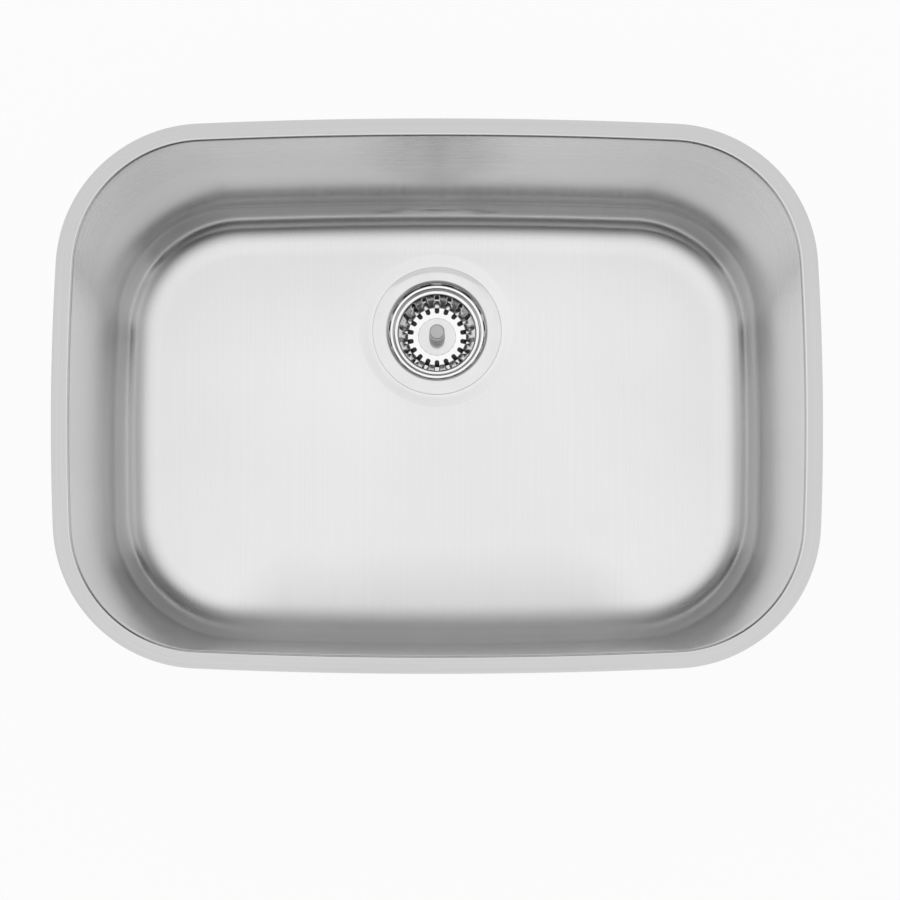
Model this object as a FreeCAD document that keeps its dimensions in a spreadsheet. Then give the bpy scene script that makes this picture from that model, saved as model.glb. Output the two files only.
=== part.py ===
import FreeCAD, Part
import Sketcher
import math
import os

# Undermount single-bowl kitchen sink, drawn from stainless sheet, with its basket strainer.
# Millimetres. The origin is the middle of the bowl's mouth, in the plane of the rim's top face,
# with +Z up, +X to the right and +Y to the back, where the drain is.

# Driving dimensions: name, value, what it measures.
SIZES = [
    ("rim_length", 625, "rim, end to end across the bowed middles"),
    ("rim_width", 454, "rim, front to back across the bowed middles"),
    ("rim_corner", 120, "plan radius of the rim's corners"),
    ("end_arc", 2250, "plan radius of the bowed short ends"),
    ("side_arc", 4400, "plan radius of the bowed long sides"),
    ("flange_width", 14.5, "flat mounting flange, rim edge to bowl mouth"),
    ("steel", 1.2, "thickness of the bowl's sheet"),
    ("bowl_depth", 200, "rim face to the floor at the drain"),
    ("wall_draft", 8, "lean of the walls from upright, in degrees"),
    ("floor_corner", 105, "plan radius of the corners at floor level"),
    ("floor_bend", 40, "bend between the walls and the floor, on the wet side"),
    ("floor_dish", 11000, "radius of the dished floor, which falls to the drain"),
    ("lip_bend", 3.2, "bend from the flange down into the bowl, on the wet side"),
    ("drain_setback", 83, "drain axis behind the middle of the bowl"),
    ("recess_mouth", 130, "diameter of the drain's recess at the floor"),
    ("recess_seat", 113, "diameter of the flat seat in the recess"),
    ("recess_depth", 2, "depth of the recess"),
    ("drain_hole", 90, "hole for the strainer"),
    ("pad_thickness", 3, "sound-deadening pads"),
    ("pad_gap", 0.1, "adhesive between a pad and the steel"),
    ("pad_corner", 12, "corner radius of the pads"),
    ("floor_pad_length", 380, "pad under the floor, end to end"),
    ("floor_pad_front", 132, "front edge of that pad from the middle of the bowl"),
    ("floor_pad_back", 112, "back edge of that pad from the middle of the bowl"),
    ("floor_pad_notch", 144, "diameter of the notch round the drain"),
    ("side_pad_length", 220, "pads on the long walls"),
    ("end_pad_length", 130, "pads on the short walls"),
    ("wall_pad_height", 95, "pads on the walls, top to bottom"),
    ("wall_pad_drop", 34, "rim face to the top of the wall pads"),
    ("strainer_flange", 111, "polished flange of the strainer"),
    ("flange_edge", 1.2, "top of the flange's outer edge over the seat"),
    ("flange_crown", 2.2, "top of the flange's flat over the seat"),
    ("crown_diameter", 100, "where the flange starts to slope down"),
    ("crown_bend", 12, "rounding between the flange's flat and its slope"),
    ("cup_steel", 1, "sheet of the strainer cup"),
    ("cup_mouth", 83, "bore of the cup below its lip"),
    ("cup_lip", 3.5, "rounding of the cup's lip"),
    ("cup_neck", 2, "rounding under the lip"),
    ("cup_thread", 86, "outside of the cup, over its thread"),
    ("cup_knee", 81, "bore of the cup where its cone begins"),
    ("knee_depth", 24, "seat to the knee"),
    ("cup_floor", 68, "diameter of the flat floor of the cup"),
    ("cup_depth", 39, "seat to the floor of the cup"),
    ("cup_bend", 3, "rounding inside the cup at its knee and floor"),
    ("throat", 41, "outlet hole in the cup's floor"),
    ("gasket_bore", 91, "bore of the gasket under the flange"),
    ("gasket_outer", 100, "outside of that gasket"),
    ("washer_outer", 112, "outside of the rubber washer under the bowl"),
    ("washer_thickness", 3, "rubber washer"),
    ("ring_outer", 110, "outside of the fibre friction ring"),
    ("ring_thickness", 1, "friction ring"),
    ("washer_clearance", 0.4, "between the cup's thread and the washers on it, on the radius"),
    ("thread_clearance", 0.1, "between a nut and the thread in it, on the radius"),
    ("lock_nut_body", 100, "outside of the lock nut"),
    ("lock_nut_height", 11, "lock nut"),
    ("lock_lug_reach", 110, "diameter over the lock nut's lugs"),
    ("lock_lug_width", 12, "lugs of the lock nut"),
    ("spigot_collar", 54, "collar that joins the spigot to the cup"),
    ("collar_height", 2, "that collar"),
    ("spigot_thread", 46.8, "outside of the spigot, over its thread"),
    ("spigot_bore", 39, "socket for a drain pipe, up to the crossbar"),
    ("spigot_length", 26, "underside of the cup to the end of the spigot"),
    ("hub_outer", 17, "hub of the crossbar"),
    ("hub_clearance", 0.2, "between the hub and the stem's grip, on the radius"),
    ("crossbar_drop", 10, "underside of the cup to the top of the crossbar"),
    ("crossbar_height", 4, "crossbar, top to bottom"),
    ("spoke_width", 2.4, "spokes of the crossbar"),
    ("slip_bore", 39.4, "bore of the slip washer"),
    ("slip_thickness", 4, "slip washer"),
    ("coupling_body", 56, "outside of the coupling nut"),
    ("coupling_grip", 16, "coupling nut, top to its inner shoulder"),
    ("coupling_lip", 3, "thickness of the coupling nut's lip"),
    ("coupling_lip_bore", 39.6, "hole in that lip"),
    ("coupling_lug_reach", 62, "diameter over the coupling nut's lugs"),
    ("coupling_lug_width", 7, "lugs of the coupling nut"),
    ("basket_rim", 81, "outside of the basket's rim"),
    ("basket_rim_bore", 75.8, "inside of the basket's rim"),
    ("basket_rim_drop", 8, "crown of the flange to the basket's rim"),
    ("basket_steel", 0.8, "sheet of the basket"),
    ("ledge_drop", 4.6, "basket's rim to the ledge below it"),
    ("ledge_outer", 73.2, "outside of that ledge"),
    ("ledge_inner", 67.2, "inside of that ledge, where the wall begins"),
    ("basket_floor", 52, "diameter of the basket's floor"),
    ("slot_width", 3.6, "slots in the basket"),
    ("slot_inner", 41.6, "diameter that the slots start from"),
    ("slot_outer", 65.6, "diameter that the slots run to"),
    ("seat_gap", 0.3, "stopper to the floor of the cup when it is shut"),
    ("stopper_top", 48, "top of the rubber stopper"),
    ("stopper_foot", 51.6, "foot of the rubber stopper"),
    ("stopper_edge", 1.4, "upright edge of the stopper's foot"),
    ("stopper_thickness", 4, "rubber stopper"),
    ("stem", 6, "stem through the basket"),
    ("stem_clearance", 0.1, "holes for the stem, on the radius"),
    ("stem_tip", 14.5, "foot of the stem below the cup's floor"),
    ("plate", 32.8, "round plate under the knob"),
    ("plate_thickness", 1, "that plate"),
    ("knob_foot", 13.8, "knob at the plate"),
    ("knob_top", 12.8, "knob at its top"),
    ("knob_height", 29, "knob"),
    ("knob_round", 0.9, "rounding of the knob's top"),
    ("backing", 18, "backing washer under the stopper"),
    ("backing_thickness", 1.2, "that washer"),
    ("nut_flats", 10, "stem nut across its flats"),
    ("nut_height", 5, "stem nut"),
    ("grip", 10, "rubber grip on the stem's foot"),
    ("grip_length", 7.5, "that grip"),
]
# Counts of what repeats.
SLOTS = 18
LOCK_LUGS = 6
COUPLING_LUGS = 8
SPOKES = 4
# How near an edge lies to the size that picks it out.
NEAR = 0.02

doc = FreeCAD.newDocument("kitchen_sink")
sheet = doc.addObject("Spreadsheet::Sheet", "Sizes")
for row, (alias, value, note) in enumerate(SIZES, start=1):
    sheet.set(f"A{row}", alias)
    sheet.set(f"B{row}", str(value))
    sheet.setAlias(f"B{row}", alias)
    sheet.set(f"C{row}", note)
doc.recompute()


class Size:
    """A size held two ways: the formula that ties it to the sheet, and its present value."""

    def __init__(self, formula, value):
        self.formula = formula
        self.value = value

    def __add__(self, other):
        other = as_size(other)
        return Size(f"({self.formula} + {other.formula})", self.value + other.value)

    def __sub__(self, other):
        other = as_size(other)
        return Size(f"({self.formula} - {other.formula})", self.value - other.value)

    def __mul__(self, other):
        other = as_size(other)
        return Size(f"({self.formula} * {other.formula})", self.value * other.value)

    def __truediv__(self, other):
        other = as_size(other)
        return Size(f"({self.formula} / {other.formula})", self.value / other.value)

    def __neg__(self):
        return Size(f"(0 - {self.formula})", -self.value)


def as_size(value):
    return value if isinstance(value, Size) else Size(str(value), float(value))


def tangent(angle):
    return Size(f"tan({angle.formula})", math.tan(math.radians(angle.value)))


def cosine(angle):
    return Size(f"cos({angle.formula})", math.cos(math.radians(angle.value)))


class Sizes:
    """Every cell of the sheet, by its alias."""

    def __getattr__(self, alias):
        return Size(f"Sizes.{alias}", float(sheet.get(alias)))


s = Sizes()
ZERO = Size("0", 0.0)
# Levels that several pieces share, measured up from the seat in the drain's recess.
cup_underside = -s.cup_depth - s.cup_steel
stopper_foot = s.seat_gap - s.cup_depth
stopper_top = stopper_foot + s.stopper_thickness
basket_floor = stopper_top + s.basket_steel
basket_rim = s.flange_crown - s.basket_rim_drop
lock_nut_top = -s.steel - s.washer_thickness - s.ring_thickness
spigot_end = cup_underside - s.spigot_length
slip_end = spigot_end - s.slip_thickness
plate_top = basket_floor + s.plate_thickness
stem_foot = -s.cup_depth - s.stem_tip
# Radii that several pieces share.
stem_hole = s.stem / 2 + s.stem_clearance
spigot_wall = (s.spigot_thread + s.spigot_bore) / 4


def new_body(label):
    body = doc.addObject("PartDesign::Body", label)
    body.Label = label
    return body


def drain_body(label):
    """A body on the drain's axis, with its zero level on the seat in the recess."""
    body = new_body(label)
    body.setExpression("Placement.Base.y", s.drain_setback.formula)
    body.setExpression("Placement.Base.z", (-s.bowl_depth - s.recess_depth).formula)
    return body


def origin_feature(body, role):
    return [feature for feature in body.Origin.OriginFeatures if feature.Role == role][0]


def new_sketch(body, name, role, lift=None):
    """A sketch on one of the body's own origin planes, or lifted from it."""
    sketch = body.newObject("Sketcher::SketchObject", name)
    sketch.AttachmentSupport = [(origin_feature(body, role), "")]
    sketch.MapMode = "FlatFace"
    if lift:
        sketch.setExpression("AttachmentOffset.Base.z", lift.formula)
    return sketch


def hold(sketch, kind, places, size):
    """A constraint of the sketch that follows the sheet."""
    index = sketch.addConstraint(Sketcher.Constraint(kind, *places, size.value))
    sketch.setExpression(f"Constraints[{index}]", size.formula)


def hold_point(sketch, geometry, end, across, up):
    """Fixes a point of the sketch at two sizes from the sketch's origin."""
    for kind, size, axis in (("DistanceX", across, -2), ("DistanceY", up, -1)):
        if size is ZERO:
            sketch.addConstraint(Sketcher.Constraint("PointOnObject", geometry, end, axis))
        else:
            hold(sketch, kind, (-1, 1, geometry, end), size)


def vector(across, up):
    return FreeCAD.Vector(across.value, up.value, 0)


def draw_polygon(sketch, corners):
    points = [vector(x, y) for x, y in corners]
    first = sketch.GeometryCount
    for start, end in zip(points, points[1:] + points[:1]):
        sketch.addGeometry(Part.LineSegment(start, end), False)
    for i, (x, y) in enumerate(corners):
        following = first + (i + 1) % len(corners)
        sketch.addConstraint(Sketcher.Constraint("Coincident", first + i, 2, following, 1))
        hold_point(sketch, first + i, 1, x, y)


def draw_circle(sketch, diameter, across=ZERO, up=ZERO):
    circle = Part.Circle(vector(across, up), FreeCAD.Vector(0, 0, 1), diameter.value / 2)
    index = sketch.addGeometry(circle, False)
    hold_point(sketch, index, 3, across, up)
    hold(sketch, "Diameter", (index,), diameter)


def draw_drain_axis(sketch):
    """The drain's axis as the sketch's first construction line, for features turned about it."""
    setback, low, high = s.drain_setback, -s.bowl_depth, ZERO
    line = Part.LineSegment(vector(setback, low), vector(setback, high))
    index = sketch.addGeometry(line, True)
    hold_point(sketch, index, 1, setback, low)
    hold_point(sketch, index, 2, setback, high)


def draw_bowed_outline(sketch, inset, corner):
    """The rim's plan drawn in by an inset: four bowed sides and four corners, all tangent arcs."""
    half_length = s.rim_length / 2 - inset
    half_width = s.rim_width / 2 - inset
    end_radius = s.end_arc - inset
    side_radius = s.side_arc - inset
    # The centre of each corner lies as far inside both bowed sides as the corner's radius.
    end_x = half_length.value - end_radius.value
    side_y = half_width.value - side_radius.value
    reach_end = end_radius.value - corner.value
    reach_side = side_radius.value - corner.value
    span = math.hypot(end_x, side_y)
    along = (reach_end**2 - reach_side**2 + span**2) / (2 * span)
    away = math.sqrt(reach_end**2 - along**2)
    corner_x = end_x - end_x / span * along - side_y / span * away
    corner_y = side_y / span * along - end_x / span * away
    end_turn = math.atan2(corner_y, corner_x - end_x)
    side_turn = math.atan2(corner_y - side_y, corner_x)
    half_turn = math.pi
    arcs = [
        (end_x, 0, end_radius, -end_turn, end_turn),
        (corner_x, corner_y, corner, end_turn, side_turn),
        (0, side_y, side_radius, side_turn, half_turn - side_turn),
        (-corner_x, corner_y, corner, half_turn - side_turn, half_turn - end_turn),
        (-end_x, 0, end_radius, half_turn - end_turn, half_turn + end_turn),
        (-corner_x, -corner_y, corner, half_turn + end_turn, half_turn + side_turn),
        (0, -side_y, side_radius, half_turn + side_turn, 2 * half_turn - side_turn),
        (corner_x, -corner_y, corner, -side_turn, -end_turn),
    ]
    first = sketch.GeometryCount
    for x, y, radius, start, end in arcs:
        circle = Part.Circle(FreeCAD.Vector(x, y, 0), FreeCAD.Vector(0, 0, 1), radius.value)
        sketch.addGeometry(Part.ArcOfCircle(circle, start, end), False)
    for i, (_, _, radius, _, _) in enumerate(arcs):
        following = first + (i + 1) % len(arcs)
        sketch.addConstraint(Sketcher.Constraint("Tangent", first + i, 2, following, 1))
        hold(sketch, "Radius", (first + i,), radius)
    right, back, left, front = first, first + 2, first + 4, first + 6
    for end in (right, left):
        sketch.addConstraint(Sketcher.Constraint("PointOnObject", end, 3, -1))
    for side in (back, front):
        sketch.addConstraint(Sketcher.Constraint("PointOnObject", side, 3, -2))
    hold(sketch, "DistanceX", (right, 3, -1, 1), end_radius - half_length)
    hold(sketch, "DistanceX", (-1, 1, left, 3), end_radius - half_length)
    hold(sketch, "DistanceY", (back, 3, -1, 1), side_radius - half_width)
    hold(sketch, "DistanceY", (-1, 1, front, 3), side_radius - half_width)


def draw_dish(sketch, radius, depth, reach, floor):
    """Half of the space between a dish on the drain's axis and a level under it."""
    rise = radius.value - math.sqrt(radius.value**2 - reach.value**2)
    foot = FreeCAD.Vector(s.drain_setback.value, -depth.value, 0)
    edge = FreeCAD.Vector(s.drain_setback.value + reach.value, rise - depth.value, 0)
    edge_foot = FreeCAD.Vector(edge.x, floor.value, 0)
    axis_foot = FreeCAD.Vector(foot.x, floor.value, 0)
    centre = FreeCAD.Vector(foot.x, radius.value - depth.value, 0)
    circle = Part.Circle(centre, FreeCAD.Vector(0, 0, 1), radius.value)
    downward = 1.5 * math.pi
    swing = math.asin(reach.value / radius.value)
    arc = sketch.addGeometry(Part.ArcOfCircle(circle, downward, downward + swing), False)
    side = sketch.addGeometry(Part.LineSegment(edge, edge_foot), False)
    base = sketch.addGeometry(Part.LineSegment(edge_foot, axis_foot), False)
    shaft = sketch.addGeometry(Part.LineSegment(axis_foot, foot), False)
    for first, second in ((arc, side), (side, base), (base, shaft)):
        sketch.addConstraint(Sketcher.Constraint("Coincident", first, 2, second, 1))
    sketch.addConstraint(Sketcher.Constraint("Coincident", shaft, 2, arc, 1))
    hold_point(sketch, arc, 3, s.drain_setback, radius - depth)
    hold_point(sketch, arc, 1, s.drain_setback, -depth)
    hold_point(sketch, side, 2, s.drain_setback + reach, floor)
    hold_point(sketch, base, 2, s.drain_setback, floor)
    sketch.addConstraint(Sketcher.Constraint("Vertical", side))


def turn(body, name, corners, cut=False):
    """Turns a half profile of (radius, height) corners about the body's upright axis."""
    sketch = new_sketch(body, name + "_profile", "XZ_Plane")
    draw_polygon(sketch, corners)
    feature = body.newObject("PartDesign::Groove" if cut else "PartDesign::Revolution", name)
    feature.Profile = sketch
    feature.ReferenceAxis = (sketch, ["V_Axis"])
    feature.Angle = 360
    doc.recompute()


def turn_at_drain(body, name, draw, cut):
    """Turns what a function draws on the plane through the middle about the drain's axis."""
    sketch = new_sketch(body, name + "_profile", "YZ_Plane")
    draw_drain_axis(sketch)
    draw(sketch)
    feature = body.newObject("PartDesign::Groove" if cut else "PartDesign::Revolution", name)
    feature.Profile = sketch
    feature.ReferenceAxis = (sketch, ["Axis0"])
    feature.Angle = 360
    doc.recompute()


def extrude(body, name, sketch, length, down=True):
    pad = body.newObject("PartDesign::Pad", name)
    pad.Profile = sketch
    pad.setExpression("Length", length.formula)
    pad.Reversed = down
    doc.recompute()
    return pad


def repeat(body, name, feature, count):
    """Copies a feature round the body's upright axis."""
    pattern = body.newObject("PartDesign::PolarPattern", name)
    pattern.Originals = [feature]
    pattern.Axis = (origin_feature(body, "Z_Axis"), [""])
    pattern.Angle = 360
    pattern.Occurrences = count
    body.Tip = pattern
    doc.recompute()


def round_off(body, name, radius, wanted):
    """Rounds those edges of the body that a test picks out."""
    base = body.Tip
    edges = [f"Edge{i}" for i, edge in enumerate(base.Shape.Edges, start=1) if wanted(edge)]
    if not edges:
        raise RuntimeError(f"{name} found no edge")
    fillet = body.newObject("PartDesign::Fillet", name)
    fillet.Base = (base, edges)
    fillet.setExpression("Radius", radius.formula)
    doc.recompute()


def circle_at(radius, level):
    """A test that picks out the circles of one radius at one level."""

    def wanted(edge):
        if not isinstance(edge.Curve, Part.Circle):
            return False
        same_radius = abs(edge.Curve.Radius - radius.value) < NEAR
        return same_radius and abs(edge.Curve.Center.z - level.value) < NEAR

    return wanted


def add_form(body, name, grow):
    """The drawn form, grown outwards by a size: tapered walls, a dished floor and the bend between."""
    lean = tangent(s.wall_draft)
    inset = s.flange_width - grow / cosine(s.wall_draft)
    depth = s.bowl_depth + grow
    # The walls run on a little below the floor, for the dish to trim.
    form_depth = depth + s.steel * 2
    mouth = new_sketch(body, name + "_mouth", "XY_Plane")
    draw_bowed_outline(mouth, inset, s.rim_corner - inset)
    foot = new_sketch(body, name + "_foot", "XY_Plane", -form_depth)
    draw_bowed_outline(foot, inset + form_depth * lean, s.floor_corner + grow)
    walls = body.newObject("PartDesign::AdditiveLoft", name + "_walls")
    walls.Profile = mouth
    walls.Sections = [foot]
    walls.Ruled = True
    doc.recompute()

    reach = (s.rim_length + s.rim_width) / 2
    turn_at_drain(
        body,
        name + "_dish",
        lambda sketch: draw_dish(sketch, s.floor_dish + grow, depth, reach, -form_depth - s.steel),
        cut=True,
    )
    middle = -depth.value / 2
    round_off(body, name + "_bend", s.floor_bend + grow, lambda edge: edge.BoundBox.ZMax < middle)


def make_bowl():
    """The drawn bowl with its flat flange and the recess for the drain."""
    inside = new_body("bowl_inside")
    add_form(inside, "inside", ZERO)
    body = new_body("bowl")
    add_form(body, "outside", s.steel)

    rim = new_sketch(body, "rim_outline", "XY_Plane")
    draw_bowed_outline(rim, ZERO, s.rim_corner)
    extrude(body, "flange", rim, s.steel)
    round_off(body, "lip_underside", s.lip_bend - s.steel, mouth_edge(rim, -s.steel))
    hollow = body.newObject("PartDesign::Boolean", "hollow")
    hollow.Type = "Cut"
    hollow.Group = [inside]
    body.Tip = hollow
    doc.recompute()
    round_off(body, "lip", s.lip_bend, mouth_edge(rim, ZERO))

    seat = -s.bowl_depth - s.recess_depth
    pan_corners = [
        (s.drain_setback, seat - s.steel),
        (s.drain_setback + s.recess_seat / 2 + s.steel, seat - s.steel),
        (s.drain_setback + s.recess_mouth / 2 + s.steel * 2, -s.bowl_depth - s.steel / 2),
        (s.drain_setback, -s.bowl_depth - s.steel / 2),
    ]
    turn_at_drain(body, "recess_pan", lambda sketch: draw_polygon(sketch, pan_corners), cut=False)
    # The recess's wall is carried up past the floor at its own slope.
    overshoot = s.recess_depth * 2
    flare = s.recess_mouth - s.recess_seat
    recess_corners = [
        (s.drain_setback, seat - s.steel * 2),
        (s.drain_setback + s.drain_hole / 2, seat - s.steel * 2),
        (s.drain_setback + s.drain_hole / 2, seat),
        (s.drain_setback + s.recess_seat / 2, seat),
        (s.drain_setback + s.recess_seat / 2 + flare, seat + overshoot),
        (s.drain_setback, seat + overshoot),
    ]
    turn_at_drain(body, "recess", lambda sketch: draw_polygon(sketch, recess_corners), cut=True)
    return body


def mouth_edge(rim, level):
    """A test for the edges at one level that run round the mouth, inside the rim's own edge."""
    outer_edge = max(rim.Shape.Wires, key=lambda wire: wire.Length)

    def wanted(edge):
        flat = edge.BoundBox.ZLength < NEAR and abs(edge.CenterOfMass.z - level.value) < NEAR
        return flat and edge.distToShape(outer_edge)[0] > s.flange_width.value / 2

    return wanted


def make_floor_pad():
    """A pad that follows the underside of the dished floor, notched round the drain."""
    body = new_body("floor_pad")
    block_foot = -s.bowl_depth - s.steel - s.pad_thickness * 2
    outline = new_sketch(body, "floor_pad_outline", "XY_Plane", block_foot)
    half_length = s.floor_pad_length / 2
    draw_polygon(
        outline,
        [
            (-half_length, -s.floor_pad_front),
            (half_length, -s.floor_pad_front),
            (half_length, s.floor_pad_back),
            (-half_length, s.floor_pad_back),
        ],
    )
    extrude(body, "floor_pad_block", outline, s.pad_thickness * 6, down=False)
    round_off(body, "floor_pad_corners", s.pad_corner, upright)
    notch = new_sketch(body, "floor_pad_notch_outline", "XY_Plane")
    draw_circle(notch, s.floor_pad_notch, ZERO, s.drain_setback)
    cut = body.newObject("PartDesign::Pocket", "floor_pad_notch")
    cut.Profile = notch
    cut.Type = "ThroughAll"
    doc.recompute()
    # What is left between two dishes is an even sheet.
    reach = (s.rim_length + s.rim_width) / 2
    skin = s.steel + s.pad_gap
    for name, grow, limit in (
        ("floor_pad_face", skin, ZERO),
        ("floor_pad_back_face", skin + s.pad_thickness, block_foot - s.pad_thickness * 2),
    ):
        depth = s.bowl_depth + grow
        turn_at_drain(
            body,
            name,
            lambda sketch: draw_dish(sketch, s.floor_dish + grow, depth, reach, limit),
            cut=True,
        )
    return body


def upright(edge):
    """Whether an edge is a straight line along Z."""
    return abs(edge.BoundBox.ZLength - edge.Length) < NEAR


def make_wall_pad(label, along_x, outward):
    """A pad bent to the bow of one wall, and leaning with it; outward is 1 or -1 on the wall's axis."""
    body = new_body(label)
    arc_size = s.side_arc if along_x else s.end_arc
    half_rim = (s.rim_width if along_x else s.rim_length) / 2
    half_length = (s.side_pad_length if along_x else s.end_pad_length) / 2
    wall = arc_size - s.flange_width + s.steel
    face = wall + s.pad_gap
    back = face + s.pad_thickness
    sketch = new_sketch(body, label + "_outline", "XY_Plane")
    draw_bent_strip(sketch, face, back, wall, half_length, along_x, outward)
    extrude(body, label + "_strip", sketch, s.wall_pad_height)
    short = s.pad_thickness.value + NEAR
    round_off(body, label + "_corners", s.pad_corner, lambda edge: edge.Length < short)
    drop = s.wall_pad_drop
    stand_off = half_rim - s.flange_width + s.steel / cosine(s.wall_draft) - drop * tangent(s.wall_draft)
    lean_axis = FreeCAD.Vector(-outward, 0, 0) if along_x else FreeCAD.Vector(0, outward, 0)
    body.Placement = FreeCAD.Placement(FreeCAD.Vector(), FreeCAD.Rotation(lean_axis, s.wall_draft.value))
    body.setExpression("Placement.Rotation.Angle", s.wall_draft.formula)
    axis = "y" if along_x else "x"
    body.setExpression(f"Placement.Base.{axis}", (stand_off * outward).formula)
    body.setExpression("Placement.Base.z", (-drop).formula)
    doc.recompute()
    return body


def draw_bent_strip(sketch, face, back, wall, half_length, along_x, outward):
    """Two arcs of one centre and the two ends between them, with the wall's middle at the origin."""

    def place(along, out):
        if along_x:
            return FreeCAD.Vector(along, out * outward, 0)
        return FreeCAD.Vector(out * outward, along, 0)

    def arc(radius):
        lift = math.sqrt(radius.value**2 - half_length.value**2) - wall.value
        ends = place(-half_length.value, lift), place(half_length.value, lift)
        return Part.Arc(ends[0], place(0, radius.value - wall.value), ends[1]), ends

    inner, inner_ends = arc(face)
    outer, outer_ends = arc(back)
    first = sketch.addGeometry(inner, False)
    second = sketch.addGeometry(outer, False)
    for low, high in zip(inner_ends, outer_ends):
        line = sketch.addGeometry(Part.LineSegment(low, high), False)
        for arc_index, point, end in ((first, low, 1), (second, high, 2)):
            near = 1 if sketch.getPoint(arc_index, 1).distanceToPoint(point) < 1 else 2
            sketch.addConstraint(Sketcher.Constraint("Coincident", line, end, arc_index, near))
        across = "DistanceX" if along_x else "DistanceY"
        reach = half_length if place(1, 0) * low > 0 else -half_length
        hold(sketch, across, (-1, 1, line, 1), reach)
        hold(sketch, across, (-1, 1, line, 2), reach)
    for index, radius in ((first, face), (second, back)):
        hold(sketch, "Radius", (index,), radius)
        if along_x:
            hold_point(sketch, index, 3, ZERO, wall * -outward)
        else:
            hold_point(sketch, index, 3, wall * -outward, ZERO)


def make_strainer_cup():
    """The polished cup: a sloped flange, a rounded lip, a threaded wall, a cone and a flat floor."""
    body = drain_body("strainer_cup")
    flange, crown, mouth = s.strainer_flange / 2, s.crown_diameter / 2, s.cup_mouth / 2
    thread, knee, floor, throat = s.cup_thread / 2, s.cup_knee / 2, s.cup_floor / 2, s.throat / 2
    flange_underside = s.flange_crown - s.cup_steel
    turn(
        body,
        "cup_form",
        [
            (flange, s.flange_edge),
            (crown, s.flange_crown),
            (mouth, s.flange_crown),
            (knee, -s.knee_depth),
            (floor, -s.cup_depth),
            (throat, -s.cup_depth),
            (throat, cup_underside),
            (floor + s.cup_steel / 2, cup_underside),
            (thread, -s.knee_depth),
            (thread, flange_underside),
            (crown, flange_underside),
            (flange, s.flange_edge - s.cup_steel),
        ],
    )
    round_off(body, "cup_neck_bend", s.cup_neck, circle_at(thread, flange_underside))
    round_off(body, "cup_lip_bend", s.cup_lip, circle_at(mouth, s.flange_crown))
    round_off(body, "cup_crown_bend", s.crown_bend, circle_at(crown, s.flange_crown))
    round_off(body, "cup_knee_bend", s.cup_bend, circle_at(knee, -s.knee_depth))
    round_off(body, "cup_floor_bend", s.cup_bend, circle_at(floor, -s.cup_depth))
    return body


def make_outlet_spigot():
    """The threaded outlet, with a crossbar whose hub guides the basket's stem."""
    body = drain_body("outlet_spigot")
    bore, thread, collar = s.spigot_bore / 2, s.spigot_thread / 2, s.spigot_collar / 2
    collar_foot = cup_underside - s.collar_height
    crossbar_top = cup_underside - s.crossbar_drop
    crossbar_foot = crossbar_top - s.crossbar_height
    turn(
        body,
        "spigot_tube",
        [
            (s.throat / 2, cup_underside),
            (collar, cup_underside),
            (collar, collar_foot),
            (thread, collar_foot),
            (thread, spigot_end),
            (bore, spigot_end),
            (bore, crossbar_foot),
            (s.throat / 2, crossbar_foot),
        ],
    )
    spoke_outline = new_sketch(body, "spoke_outline", "XY_Plane", crossbar_top)
    half_width = s.spoke_width / 2
    draw_polygon(
        spoke_outline,
        [(ZERO, -half_width), (spigot_wall, -half_width), (spigot_wall, half_width), (ZERO, half_width)],
    )
    spoke = extrude(body, "spoke", spoke_outline, s.crossbar_height)
    repeat(body, "spokes", spoke, SPOKES)
    hub_outline = new_sketch(body, "hub_outline", "XY_Plane", crossbar_top)
    draw_circle(hub_outline, s.hub_outer)
    extrude(body, "hub", hub_outline, s.crossbar_height)
    hub_bore = s.grip / 2 + s.hub_clearance
    turn(
        body,
        "hub_hole",
        [
            (ZERO, crossbar_foot - s.crossbar_height),
            (hub_bore, crossbar_foot - s.crossbar_height),
            (hub_bore, crossbar_top + s.crossbar_height),
            (ZERO, crossbar_top + s.crossbar_height),
        ],
        cut=True,
    )
    return body


def ring(label, inner, outer, bottom, top):
    """A plain washer on the drain's axis, from two radii and two levels."""
    body = drain_body(label)
    turn(body, label + "_form", [(inner, bottom), (outer, bottom), (outer, top), (inner, top)])
    return body


def add_lugs(body, name, root, lug_reach, lug_width, top, height, count):
    """Lugs round a nut, from inside its wall out to a diameter."""
    outline = new_sketch(body, name + "_outline", "XY_Plane", top)
    reach, half_width = lug_reach / 2, lug_width / 2
    draw_polygon(
        outline,
        [(root, -half_width), (reach, -half_width), (reach, half_width), (root, half_width)],
    )
    lug = extrude(body, name + "_first", outline, height)
    repeat(body, name, lug, count)


def make_lock_nut():
    thread = s.cup_thread / 2 + s.thread_clearance
    outside = s.lock_nut_body / 2
    body = ring("lock_nut", thread, outside, lock_nut_top - s.lock_nut_height, lock_nut_top)
    root = (thread + outside) / 2
    reach, width, height = s.lock_lug_reach, s.lock_lug_width, s.lock_nut_height
    add_lugs(body, "lock_lugs", root, reach, width, lock_nut_top, height, LOCK_LUGS)
    return body


def make_coupling_nut():
    """A nut with an inner lip, which draws a drain pipe and the slip washer up to the spigot."""
    body = drain_body("coupling_nut")
    thread = s.spigot_thread / 2 + s.thread_clearance
    outside = s.coupling_body / 2
    top = slip_end + s.coupling_grip
    foot = slip_end - s.coupling_lip
    turn(
        body,
        "coupling_form",
        [
            (thread, top),
            (thread, slip_end),
            (s.coupling_lip_bore / 2, slip_end),
            (s.coupling_lip_bore / 2, foot),
            (outside, foot),
            (outside, top),
        ],
    )
    root = (thread + outside) / 2
    height = s.coupling_grip + s.coupling_lip
    reach, width = s.coupling_lug_reach, s.coupling_lug_width
    add_lugs(body, "coupling_lugs", root, reach, width, top, height, COUPLING_LUGS)
    return body


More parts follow.
